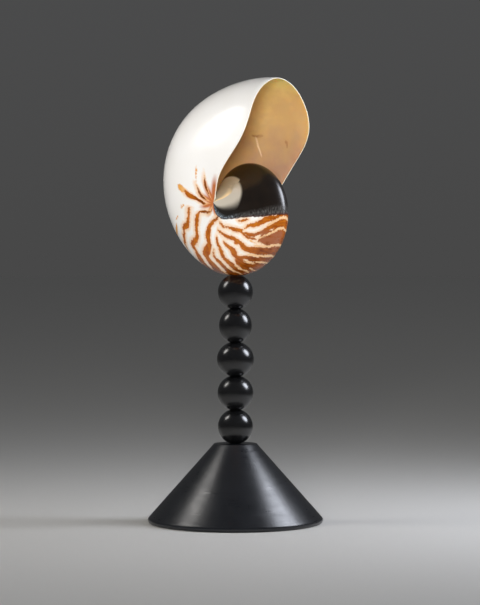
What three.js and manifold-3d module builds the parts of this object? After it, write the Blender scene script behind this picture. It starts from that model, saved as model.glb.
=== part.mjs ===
// A whole nautilus shell with its mouth open, on a black display stand.
// Millimetres, +Z up. The origin is the centre of the base's underside, the mouth looks towards +X,
// and the shell coils in the XZ plane, so its two flanks face -Y and +Y.
import * as THREE from 'three';
import { mergeVertices } from 'three/addons/utils/BufferGeometryUtils.js';
import Module from 'manifold-3d';

// Base: a spun cone with a rounded foot rim and a flat top.
const BASE_RADIUS = 73.2;
const BASE_HEIGHT = 66;
const BASE_TOP_RADIUS = 18.4;
const FOOT_RIM_RADIUS = 2.6;
const TOP_EDGE_BEVEL = 0.6;
const BASE_SIDES = 48;

// Stem: five balls with flats where they meet, threaded on a rod. They are turned by hand, so their
// half widths, from the bottom ball up, are not quite the same.
const BALL_HALF_WIDTHS = [14.6, 14.9, 15.4, 13.7, 14.8];
const BALL_HALF_HEIGHT = 14.7;
const BALL_PITCH = 28.1;
const PART_GAP = 0.3;
const ROD_RADIUS = 3;
const ROD_IN_BASE = 40;
const ROD_IN_TOP_BALL = 14;
const BALL_SIDES = 24;
const BALL_ARC_STEPS = 8;
const ROD_SIDES = 16;
// The dish in the top ball has the curves of the shell's underside, along and across its coil.
const SEAT_CURVE_ALONG = 78;
const SEAT_CURVE_ACROSS = 40;

// Shell: the coiling axis runs along Y through this point.
const AXIS_X = 9.05;
const AXIS_Z = 266.4;
const LIP_RADIUS = 112.7;
const LIP_DIRECTION = THREE.MathUtils.degToRad(64.15);
const GROWTH_PER_TURN = 3.174;
// How the coil departs from an even spiral, as parts of its radius: fuller half a turn back, drawn in
// a little behind the lip, and slightly uneven all round.
const MIDDLE_SWELL = 0.0012;
const LIP_PINCH = 0.0317;
const LIP_PINCH_BACK = 0.54;
const LIP_PINCH_SPREAD = 0.496;
const UNEVEN_TWICE = 0.0065;
const UNEVEN_THRICE = -0.0109;
// Its section: half width at the lip, height and spread of the filled umbilicus, and how boxy it is.
const LIP_HALF_WIDTH = 44.1;
const WIDTH_GROWTH = 0.6445;
const MIDDLE_WIDTH = 0.42;
const UMBILICUS_HEIGHT = 37.9;
const UMBILICUS_RADIUS = 17.8;
const YOUNG_BOXINESS = 1.89;
const LIP_BOXINESS = 4.2;
const MIDDLE_BOXINESS = -0.47;
const FLANK_FULLNESS = 0.047;
const VENTER_ROUNDING = 0.01;
// The whorl counts as young once its radius has lost this part of the lip's.
const YOUNG_SPAN = 0.65;
// The lip swings forward and back between the venter and the umbilicus, by these angles in radians.
const LIP_SWAY = [0.0612, 0.0685, -0.0477, 0.014];
// The open body chamber and its wall.
const CHAMBER_ARC = THREE.MathUtils.degToRad(130);
const WALL = 1.7;
const LIP_WALL = 1.1;
const LIP_TAPER_ARC = THREE.MathUtils.degToRad(12);
const SEPTUM_DEPTH = THREE.MathUtils.degToRad(14);
// How finely the shell is faceted.
const TURN_ROWS = 58;
const CHAMBER_ROWS = 22;
const SIDE_COLUMNS = 14;
const SEPTUM_ROWS = 5;

const TURN = 2 * Math.PI;

const wasm = await Module();
wasm.setup();

// Joining and cutting closed meshes

function toSolid(geometry) {
  const bare = geometry.clone();
  bare.deleteAttribute('normal');
  bare.deleteAttribute('uv');
  const merged = mergeVertices(bare, 1e-4);
  return new wasm.Manifold(new wasm.Mesh({
    numProp: 3,
    vertProperties: merged.attributes.position.array,
    triVerts: new Uint32Array(merged.index.array),
  }));
}

function toGeometry(solid) {
  const mesh = solid.getMesh();
  const geometry = new THREE.BufferGeometry();
  geometry.setAttribute('position', new THREE.BufferAttribute(mesh.vertProperties, mesh.numProp));
  geometry.setIndex(new THREE.BufferAttribute(mesh.triVerts, 1));
  const faceted = geometry.toNonIndexed();
  faceted.computeVertexNormals();
  return faceted;
}

// A turned form about +Z from a profile of [radius, height] points.
function turned(profile, sides) {
  const points = profile.map(([radius, height]) => new THREE.Vector2(radius, height));
  return new THREE.LatheGeometry(points, sides).rotateX(Math.PI / 2);
}

// Base cone, with a blind hole down its middle for the rod

function baseProfile() {
  const slope = Math.atan2(BASE_HEIGHT, BASE_RADIUS - BASE_TOP_RADIUS);
  const rimCentre = [BASE_RADIUS - FOOT_RIM_RADIUS, FOOT_RIM_RADIUS];
  const rim = [];
  const steps = 5;
  for (let i = 0; i <= steps; i++) {
    const angle = -Math.PI / 2 + (Math.PI - slope) * (i / steps);
    rim.push([
      rimCentre[0] + FOOT_RIM_RADIUS * Math.cos(angle),
      rimCentre[1] + FOOT_RIM_RADIUS * Math.sin(angle),
    ]);
  }
  const hole = ROD_RADIUS + PART_GAP;
  const holeFloor = BASE_HEIGHT - ROD_IN_BASE - PART_GAP;
  return [
    [0, 0],
    ...rim,
    [BASE_TOP_RADIUS, BASE_HEIGHT - TOP_EDGE_BEVEL],
    [BASE_TOP_RADIUS - TOP_EDGE_BEVEL, BASE_HEIGHT],
    [hole, BASE_HEIGHT],
    [hole, holeFloor],
    [0, holeFloor],
  ];
}

// Stem balls, each with a through hole, and the top one with a blind hole and a seat

function ballCentre(index) {
  return BASE_HEIGHT + PART_GAP / 2 + BALL_PITCH * (index + 0.5);
}

function ballProfile(index) {
  const isTop = index === BALL_HALF_WIDTHS.length - 1;
  const flatHeight = (BALL_PITCH - PART_GAP) / 2;
  const flatAngle = Math.asin(flatHeight / BALL_HALF_HEIGHT);
  const endAngle = isTop ? Math.PI / 2 : flatAngle;
  const hole = ROD_RADIUS + PART_GAP;
  const profile = isTop ? [[0, ROD_IN_TOP_BALL + PART_GAP - flatHeight]] : [];
  const holeTop = isTop ? ROD_IN_TOP_BALL + PART_GAP - flatHeight : flatHeight;
  profile.push([hole, holeTop], [hole, -flatHeight]);
  for (let i = 0; i <= BALL_ARC_STEPS; i++) {
    const angle = -flatAngle + (endAngle + flatAngle) * (i / BALL_ARC_STEPS);
    profile.push([BALL_HALF_WIDTHS[index] * Math.cos(angle), BALL_HALF_HEIGHT * Math.sin(angle)]);
  }
  if (isTop) {
    profile[profile.length - 1][0] = 0;
  } else {
    profile.push([hole, holeTop]);
  }
  return profile;
}

// Shell surface, from the angle grown back from the lip and the turn from venter to coiling axis

function radiusAt(back) {
  const spiral = -(Math.log(GROWTH_PER_TURN) / TURN) * back;
  const swell = MIDDLE_SWELL * back * (TURN - back);
  const pinch = LIP_PINCH * Math.exp(-Math.pow((back - LIP_PINCH_BACK) / LIP_PINCH_SPREAD, 2));
  const uneven = UNEVEN_TWICE * Math.sin(2 * back) + UNEVEN_THRICE * Math.sin(3 * back);
  return LIP_RADIUS * Math.exp(spiral + swell - pinch + uneven);
}

// Height of a flank above the coiling plane, at a distance out from the coiling axis.
function flankHeight(back, distance) {
  const radius = radiusAt(back);
  const age = THREE.MathUtils.clamp((1 - radius / LIP_RADIUS) / YOUNG_SPAN, -0.2, 1.2);
  const boxiness = THREE.MathUtils.lerp(LIP_BOXINESS, YOUNG_BOXINESS, age)
    + MIDDLE_BOXINESS * age * (1 - age);
  const halfWidth = LIP_HALF_WIDTH * Math.pow(radius / LIP_RADIUS, WIDTH_GROWTH)
    * (1 + MIDDLE_WIDTH * age * (1 - age));
  const rise = Math.max(0, 1 - Math.pow(distance / radius, boxiness));
  const oval = Math.sqrt(rise)
    * Math.pow((rise + VENTER_ROUNDING) / (1 + VENTER_ROUNDING), FLANK_FULLNESS);
  const fill = Math.exp(-Math.pow(distance / UMBILICUS_RADIUS, 2));
  return halfWidth * oval * (1 - (1 - UMBILICUS_HEIGHT / halfWidth) * fill);
}

function lipSway(turn) {
  const part = turn / (Math.PI / 2);
  return LIP_SWAY.reduce((sum, sway, i) => sum + sway * Math.cos((i + 1) * Math.PI * part), 0);
}

// side is -1 or 1; row is the angle back from the lip, which sways with turn as a growth line does.
function shellPoint(row, turn, side) {
  const back = row + lipSway(turn);
  const distance = radiusAt(back) * Math.max(0, Math.cos(turn));
  const direction = LIP_DIRECTION + back;
  return new THREE.Vector3(
    AXIS_X + distance * Math.cos(direction),
    side * flankHeight(back, distance),
    AXIS_Z + distance * Math.sin(direction),
  );
}

function shellNormal(row, turn, side) {
  const step = 1e-3;
  const here = Math.max(turn, 2 * step);
  const along = shellPoint(row + step, here, side).sub(shellPoint(row - step, here, side));
  const across = shellPoint(row, here + step, side).sub(shellPoint(row, here - step, side));
  return across.cross(along).normalize().multiplyScalar(side);
}

// The distance out from the axis where the body whorl's wall lands on the whorl inside it.
function hornDistance(row) {
  const back = row + lipSway(Math.PI / 2);
  let near = 0;
  let far = UMBILICUS_RADIUS;
  const halvings = 40;
  for (let i = 0; i < halvings; i++) {
    const middle = (near + far) / 2;
    const room = flankHeight(back, middle) - flankHeight(back + TURN, middle);
    if (room < WALL) near = middle;
    else far = middle;
  }
  return far;
}

function hornTurn(row, distance) {
  const back = row + lipSway(Math.PI / 2);
  return Math.acos(distance / radiusAt(back));
}

// One row of points across the shell, from horn to horn over the venter. pointAt gives each point.
function rowAcross(pointAt, lastTurn) {
  const points = [];
  for (let k = -SIDE_COLUMNS; k <= SIDE_COLUMNS; k++) {
    const turn = lastTurn * Math.abs(k / SIDE_COLUMNS);
    points.push(pointAt(turn, k < 0 ? -1 : 1));
  }
  return points;
}

function umbilicusPoint(side) {
  return new THREE.Vector3(AXIS_X, side * UMBILICUS_HEIGHT, AXIS_Z);
}

function withUmbilici(points) {
  return [umbilicusPoint(-1), ...points, umbilicusPoint(1)];
}

function outerRow(row, horn) {
  return rowAcross((turn, side) => shellPoint(row, turn, side), hornTurn(row, horn));
}

// The inside of the body whorl's wall; its two ends are the ends of the row on the whorl inside it.
function wallRow(row) {
  const horn = hornDistance(row);
  const taper = THREE.MathUtils.smoothstep(row, 0, LIP_TAPER_ARC);
  const thickness = THREE.MathUtils.lerp(LIP_WALL, WALL, taper);
  const inset = (turn, side) => shellPoint(row, turn, side)
    .addScaledVector(shellNormal(row, turn, side), -thickness);
  const points = rowAcross(inset, hornTurn(row, horn));
  const innerWhorl = outerRow(row + TURN, horn);
  points[0] = innerWhorl[0];
  points[points.length - 1] = innerWhorl[innerWhorl.length - 1];
  return points;
}

// The septum bulges away from the mouth between the inner whorl and the wall.
function septumRow(lower, upper, part) {
  return lower.map((point, k) => {
    const across = Math.cos((Math.PI / 2) * (k / SIDE_COLUMNS - 1));
    const bulge = SEPTUM_DEPTH * Math.sin(Math.PI * part) * across;
    const centre = new THREE.Vector3(AXIS_X, 0, AXIS_Z);
    const blended = point.clone().lerp(upper[k], part).sub(centre);
    return blended.applyAxisAngle(new THREE.Vector3(0, -1, 0), bulge).add(centre);
  });
}

function addStrip(triangles, first, second) {
  const tooNear = 1e-6;
  const addTriangle = (a, b, c) => {
    const flat = a.distanceTo(b) < tooNear || b.distanceTo(c) < tooNear || c.distanceTo(a) < tooNear;
    if (!flat) triangles.push(...a.toArray(), ...b.toArray(), ...c.toArray());
  };
  for (let k = 0; k + 1 < first.length; k++) {
    addTriangle(first[k], first[k + 1], second[k]);
    addTriangle(first[k + 1], second[k + 1], second[k]);
  }
}

function addSheet(triangles, rows) {
  for (let i = 0; i + 1 < rows.length; i++) addStrip(triangles, rows[i], rows[i + 1]);
}

function evenRows(start, end, count, makeRow) {
  return Array.from({ length: count + 1 }, (_, i) => makeRow(start + (end - start) * (i / count)));
}

function shellGeometry() {
  const lipHorn = hornDistance(0);
  const outside = evenRows(0, TURN, TURN_ROWS, (row) => withUmbilici(outerRow(row, lipHorn)));
  const innerWhorl = evenRows(0, CHAMBER_ARC, CHAMBER_ROWS,
    (row) => outerRow(row + TURN, hornDistance(row)));
  const wall = evenRows(CHAMBER_ARC, 0, CHAMBER_ROWS, wallRow);
  const septum = evenRows(0, 1, SEPTUM_ROWS,
    (part) => septumRow(innerWhorl[CHAMBER_ROWS], wall[0], part));
  const triangles = [];
  addSheet(triangles, outside);
  addSheet(triangles, innerWhorl);
  addSheet(triangles, septum);
  addSheet(triangles, wall);
  addStrip(triangles, withUmbilici(wall[CHAMBER_ROWS]), outside[0]);
  const geometry = new THREE.BufferGeometry();
  geometry.setAttribute('position', new THREE.Float32BufferAttribute(triangles, 3));
  geometry.computeVertexNormals();
  return geometry;
}

// The lowest point of the shell, where it sits on the top ball.
function shellBottom() {
  let lowest = new THREE.Vector3(0, 0, Infinity);
  const steps = 2000;
  for (let i = 0; i <= steps; i++) {
    const point = shellPoint((TURN * i) / steps, 0, 1);
    if (point.z < lowest.z) lowest = point;
  }
  return lowest;
}

// The top ball with its dish, cut by an ellipsoid that touches bottom under the shell's lowest point.
function topBallGeometry(seat) {
  const top = BALL_HALF_WIDTHS.length - 1;
  const height = 60;
  const sides = 64;
  const dish = new THREE.SphereGeometry(1, sides, sides)
    .scale(Math.sqrt(SEAT_CURVE_ALONG * height), Math.sqrt(SEAT_CURVE_ACROSS * height), height)
    .translate(seat.x, 0, seat.z - PART_GAP + height);
  const ball = turned(ballProfile(top), BALL_SIDES).translate(0, 0, ballCentre(top));
  return toGeometry(toSolid(ball).subtract(toSolid(dish)));
}

// Materials

const ebonised = () => new THREE.MeshStandardMaterial({ color: '#141416', roughness: 0.32 });
const satinBlack = () => new THREE.MeshStandardMaterial({ color: '#1b1c1f', roughness: 0.45 });
const steel = () => new THREE.MeshStandardMaterial({ color: '#8c8f93', roughness: 0.35, metalness: 1 });
const porcelain = () => new THREE.MeshStandardMaterial({ color: '#efe9e2', roughness: 0.25 });

// Assembly

function piece(name, geometry, material) {
  const mesh = new THREE.Mesh(geometry, material);
  mesh.name = name;
  return mesh;
}

const nautilus = new THREE.Group();

const stand = new THREE.Group();
const topBall = BALL_HALF_WIDTHS.length - 1;
stand.add(piece('base_cone', turned(baseProfile(), BASE_SIDES), satinBlack()));
for (let index = 0; index < topBall; index++) {
  const ball = piece(`stem_ball_${index + 1}`, turned(ballProfile(index), BALL_SIDES), ebonised());
  ball.position.z = ballCentre(index);
  stand.add(ball);
}
stand.add(piece(`stem_ball_${topBall + 1}`, topBallGeometry(shellBottom()), ebonised()));

const topBallFloor = ballCentre(topBall) - (BALL_PITCH - PART_GAP) / 2;
const rodBottom = BASE_HEIGHT - ROD_IN_BASE;
const rodLength = topBallFloor + ROD_IN_TOP_BALL - rodBottom;
const rodForm = new THREE.CylinderGeometry(ROD_RADIUS, ROD_RADIUS, rodLength, ROD_SIDES);
const rod = piece('stem_rod', rodForm.rotateX(Math.PI / 2), steel());
rod.position.z = rodBottom + rodLength / 2;
stand.add(rod);

nautilus.add(stand);
nautilus.add(piece('nautilus_shell', shellGeometry(), porcelain()));

export default nautilus;
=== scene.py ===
# A whole nautilus shell with its mouth open, on a black display stand: a spun cone, five turned balls
# on a rod, and the shell resting in a dish in the top ball. Metres, +Z up, the mouth towards +X.
import math
from functools import lru_cache

import bmesh
import bpy
import numpy as np
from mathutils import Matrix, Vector


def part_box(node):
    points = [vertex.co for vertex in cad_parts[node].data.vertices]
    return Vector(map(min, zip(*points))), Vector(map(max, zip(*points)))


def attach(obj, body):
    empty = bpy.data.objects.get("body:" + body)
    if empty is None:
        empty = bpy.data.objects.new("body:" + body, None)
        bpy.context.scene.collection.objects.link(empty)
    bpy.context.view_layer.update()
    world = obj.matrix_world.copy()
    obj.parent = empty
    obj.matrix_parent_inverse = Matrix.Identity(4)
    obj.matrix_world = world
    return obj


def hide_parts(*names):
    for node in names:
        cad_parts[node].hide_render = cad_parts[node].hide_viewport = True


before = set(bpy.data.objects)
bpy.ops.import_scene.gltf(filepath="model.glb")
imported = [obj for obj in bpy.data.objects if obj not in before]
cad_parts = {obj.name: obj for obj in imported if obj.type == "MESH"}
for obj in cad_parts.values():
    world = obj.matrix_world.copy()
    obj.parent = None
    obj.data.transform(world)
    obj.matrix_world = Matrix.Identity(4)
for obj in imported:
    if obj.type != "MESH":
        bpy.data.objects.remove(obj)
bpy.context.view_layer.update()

# Camera
# The view looks level at the shell from in front and to the right of its near flank, from two metres
# off with a long lens, and is then tipped down and panned to the photograph's framing.
VIEW_AZIMUTH = math.radians(41.04)
VIEW_DISTANCE = 2.0
VIEW_HEIGHT = 0.240
IMAGE_HEIGHT_PX = 605
FOCAL_PX = 2401
TIP_DOWN_PX = 67.6
PAN_RIGHT_PX = 4.6

camera = bpy.data.objects.new("camera", bpy.data.cameras.new("camera"))
bpy.context.scene.collection.objects.link(camera)
towards_camera = Vector((math.sin(VIEW_AZIMUTH), -math.cos(VIEW_AZIMUTH), 0))
rightwards = Vector((math.cos(VIEW_AZIMUTH), math.sin(VIEW_AZIMUTH), 0))
camera.location = towards_camera * VIEW_DISTANCE + Vector((0, 0, VIEW_HEIGHT))
sight = -towards_camera * FOCAL_PX + rightwards * PAN_RIGHT_PX - Vector((0, 0, TIP_DOWN_PX))
camera.rotation_euler = sight.to_track_quat("-Z", "Y").to_euler()
camera.data.lens = FOCAL_PX / IMAGE_HEIGHT_PX * camera.data.sensor_width
bpy.context.scene.camera = camera

# Shell
# The grown shell is one piece: a logarithmic coil, slightly uneven, whose whorls widen towards the
# mouth and hide the ones inside. The body whorl's wall is open in front as the living chamber, which
# a septum closes at the back, and the whorl below the mouth shows as a dome inside it.
AXIS = Vector((0.00905, 0, 0.2664))
LIP_RADIUS = 0.1127
LIP_DIRECTION = math.radians(64.15)
GROWTH_PER_TURN = 3.174
MIDDLE_SWELL = 0.0012
LIP_PINCH = 0.0317
LIP_PINCH_BACK = 0.54
LIP_PINCH_SPREAD = 0.496
UNEVEN_TWICE = 0.0065
UNEVEN_THRICE = -0.0109
LIP_HALF_WIDTH = 0.0441
WIDTH_GROWTH = 0.6445
MIDDLE_WIDTH = 0.42
UMBILICUS_HEIGHT = 0.0379
UMBILICUS_RADIUS = 0.0178
YOUNG_BOXINESS = 1.89
LIP_BOXINESS = 4.2
MIDDLE_BOXINESS = -0.47
FLANK_FULLNESS = 0.047
VENTER_ROUNDING = 0.01
YOUNG_SPAN = 0.65
AGE_LIMITS = (-0.2, 1.2)
LIP_SWAY = (0.0612, 0.0685, -0.0477, 0.014)
CHAMBER_ARC = math.radians(130)
WALL = 0.0017
LIP_WALL = 0.0007
LIP_ROUNDING = math.radians(0.2)
LIP_TAPER_ARC = math.radians(12)
SEPTUM_DEPTH = math.radians(14)
TURN = 2 * math.pi


def radius_at(back):
    """The coil's radius at an angle grown back from the lip."""
    spiral = -math.log(GROWTH_PER_TURN) / TURN * back
    swell = MIDDLE_SWELL * back * (TURN - back)
    pinch = LIP_PINCH * math.exp(-((back - LIP_PINCH_BACK) / LIP_PINCH_SPREAD) ** 2)
    uneven = UNEVEN_TWICE * math.sin(2 * back) + UNEVEN_THRICE * math.sin(3 * back)
    return LIP_RADIUS * math.exp(spiral + swell - pinch + uneven)


def flank_height(back, distance):
    """How far a flank stands from the coiling plane, at a distance out from the coiling axis."""
    radius = radius_at(back)
    age = min(max((1 - radius / LIP_RADIUS) / YOUNG_SPAN, AGE_LIMITS[0]), AGE_LIMITS[1])
    boxiness = LIP_BOXINESS + (YOUNG_BOXINESS - LIP_BOXINESS) * age + MIDDLE_BOXINESS * age * (1 - age)
    half_width = LIP_HALF_WIDTH * (radius / LIP_RADIUS) ** WIDTH_GROWTH
    half_width *= 1 + MIDDLE_WIDTH * age * (1 - age)
    rise = max(0, 1 - (distance / radius) ** boxiness)
    oval = math.sqrt(rise) * ((rise + VENTER_ROUNDING) / (1 + VENTER_ROUNDING)) ** FLANK_FULLNESS
    fill = math.exp(-(distance / UMBILICUS_RADIUS) ** 2)
    return half_width * oval * (1 - (1 - UMBILICUS_HEIGHT / half_width) * fill)


def lip_sway(turn):
    """How far the lip swings back, between the venter at turn 0 and the coiling axis a quarter turn off."""
    part = abs(turn) / (math.pi / 2)
    return sum(sway * math.cos((i + 1) * math.pi * part) for i, sway in enumerate(LIP_SWAY))


def shell_point(row, turn):
    """A point of the outside. The row is a growth line; turn is negative on the near flank, -Y."""
    back = row + lip_sway(turn)
    distance = radius_at(back) * max(0, math.cos(turn))
    side = -1 if turn < 0 else 1
    direction = LIP_DIRECTION + back
    return AXIS + Vector((
        distance * math.cos(direction),
        side * flank_height(back, distance),
        distance * math.sin(direction),
    ))


def shell_normal(row, turn):
    step = 1e-3
    along = shell_point(row + step, turn) - shell_point(row - step, turn)
    side = -1 if turn < 0 else 1
    here = side * max(abs(turn), 2 * step)
    across = shell_point(row, here + step) - shell_point(row, here - step)
    return across.cross(along).normalized()


@lru_cache(maxsize=None)
def horn_distance(row):
    """How far out from the axis the body whorl's wall lands on the whorl inside it."""
    back = row + lip_sway(math.pi / 2)
    near, far = 0, UMBILICUS_RADIUS
    halvings = 40
    for _ in range(halvings):
        middle = (near + far) / 2
        room = flank_height(back, middle) - flank_height(back + TURN, middle)
        near, far = (middle, far) if room < WALL else (near, middle)
    return far


# Columns run across the shell from axis to axis over the venter. HORN_PART of each half lies outside
# the horn, where the wall lands, and the rest fills the umbilicus. A column this close is on the horn.
HORN_PART = 0.9
HORN_SLACK = 1e-6
HALF_COLUMNS = 70
LIP_HORN = horn_distance(0)


def turn_at(row, column, horn):
    """The turn of a column, from -1 to 1, in a row whose horn lies at the given distance."""
    radius = radius_at(row + lip_sway(math.pi / 2))
    part = abs(column)
    if part <= HORN_PART + HORN_SLACK:
        turn = math.acos(horn / radius) * part / HORN_PART
    else:
        turn = math.acos(horn * max(0, 1 - part) / (1 - HORN_PART) / radius)
    return math.copysign(turn, column)


def outside_at(row, column):
    if row == 0 and abs(column) < HORN_PART - HORN_SLACK:
        row = LIP_ROUNDING
    return shell_point(row, turn_at(row, column, LIP_HORN))


def inner_whorl_at(row, column):
    """The dome: the outside carried on for another turn, as far as the wall that covers it."""
    return shell_point(row + TURN, turn_at(row + TURN, column, horn_distance(row)))


def wall_at(row, column):
    """The inside of the body whorl's wall, which thins towards the lip."""
    if abs(column) > HORN_PART - HORN_SLACK:
        return inner_whorl_at(row, column)
    row = max(row, LIP_ROUNDING)
    part = min(row / LIP_TAPER_ARC, 1)
    thickness = LIP_WALL + (WALL - LIP_WALL) * part * part * (3 - 2 * part)
    turn = turn_at(row, column, horn_distance(row))
    return shell_point(row, turn) - shell_normal(row, turn) * thickness


def septum_at(part, column):
    """The last wall that the animal laid behind itself, bulging away from the mouth."""
    flat = inner_whorl_at(CHAMBER_ARC, column).lerp(wall_at(CHAMBER_ARC, column), part) - AXIS
    bulge = SEPTUM_DEPTH * math.sin(math.pi * part) * math.cos(math.pi / 2 * column / HORN_PART)
    return AXIS + Vector((
        flat.x * math.cos(bulge) - flat.z * math.sin(bulge),
        flat.y,
        flat.x * math.sin(bulge) + flat.z * math.cos(bulge),
    ))


def lip_at(part, column):
    """The lip's rounded edge, from the chamber side at part 0 to the outside at part 1."""
    inner = wall_at(0, column) if abs(column) < HORN_PART + HORN_SLACK else outside_at(TURN, column)
    outer = outside_at(0, column)
    if abs(column) > HORN_PART - HORN_SLACK:
        return inner.lerp(outer, part)
    forward = shell_point(0, turn_at(0, column, LIP_HORN)) - outer
    return inner.lerp(outer, part) + forward * math.sin(math.pi * part)


# The shell's three surfaces, in the order of its materials.
PORCELAIN, LINING, LIP = 0, 1, 2


def add_patch(bm, start, end, rows, last_column, material, place, along=lambda row: row):
    """Bends one grid onto the shell, and writes each corner's row and turn into the growth map."""
    columns = round(2 * HALF_COLUMNS * last_column)
    old_faces = set(bm.faces)
    made = bmesh.ops.create_grid(bm, x_segments=rows, y_segments=columns, size=1)["verts"]
    spots = {}
    for vertex in made:
        row = start + (end - start) * (vertex.co.x + 1) / 2
        column = vertex.co.y * last_column
        vertex.co = place(row, column)
        grown = along(row)
        turn = turn_at(grown % TURN, column, LIP_HORN)
        vertex[row_layer] = grown
        vertex[turn_layer] = turn
        spots[vertex] = (grown / TURN, 0.5 + turn / math.pi)
    for face in bm.faces:
        if face in old_faces:
            continue
        face.material_index = material
        for loop in face.loops:
            loop[growth_map].uv = spots[loop.vert]


shell_mesh = bmesh.new()
growth_map = shell_mesh.loops.layers.uv.new("growth")
row_layer = shell_mesh.verts.layers.float.new("row")
turn_layer = shell_mesh.verts.layers.float.new("turn")
# The banded part of the outside, from 95 to 285 degrees back, is cut the finest. The dome and the wall
# over it share their cuts, so that they close along the horns.
BANDS_START = math.radians(95)
BANDS_END = math.radians(285)
WHITE_ROWS = 38
BANDED_ROWS = 300
COVERED_ROWS = 34
CHAMBER_ROWS = 150
SEPTUM_ROWS = 10
LIP_ROWS = 3
WELD_DISTANCE = 1e-6
SLIVER = 1e-7
add_patch(shell_mesh, 0, BANDS_START, WHITE_ROWS, 1, PORCELAIN, outside_at)
add_patch(shell_mesh, BANDS_START, BANDS_END, BANDED_ROWS, 1, PORCELAIN, outside_at)
add_patch(shell_mesh, BANDS_END, TURN, COVERED_ROWS, 1, PORCELAIN, outside_at)
add_patch(shell_mesh, 0, CHAMBER_ARC, CHAMBER_ROWS, HORN_PART, PORCELAIN, inner_whorl_at,
          lambda row: row + TURN)
add_patch(shell_mesh, CHAMBER_ARC, 0, CHAMBER_ROWS, HORN_PART, LINING, wall_at)
add_patch(shell_mesh, 0, 1, SEPTUM_ROWS, HORN_PART, LINING, septum_at, lambda part: CHAMBER_ARC)
add_patch(shell_mesh, 0, 1, LIP_ROWS, 1, LIP, lip_at, lambda part: 0)
bmesh.ops.remove_doubles(shell_mesh, verts=shell_mesh.verts, dist=WELD_DISTANCE)
bmesh.ops.dissolve_degenerate(shell_mesh, dist=SLIVER, edges=shell_mesh.edges)
bmesh.ops.recalc_face_normals(shell_mesh, faces=shell_mesh.faces)
CREASE_ANGLE = math.radians(50)
for face in shell_mesh.faces:
    face.smooth = True
for edge in shell_mesh.edges:
    edge.smooth = not edge.is_manifold or edge.calc_face_angle(0) < CREASE_ANGLE


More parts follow.
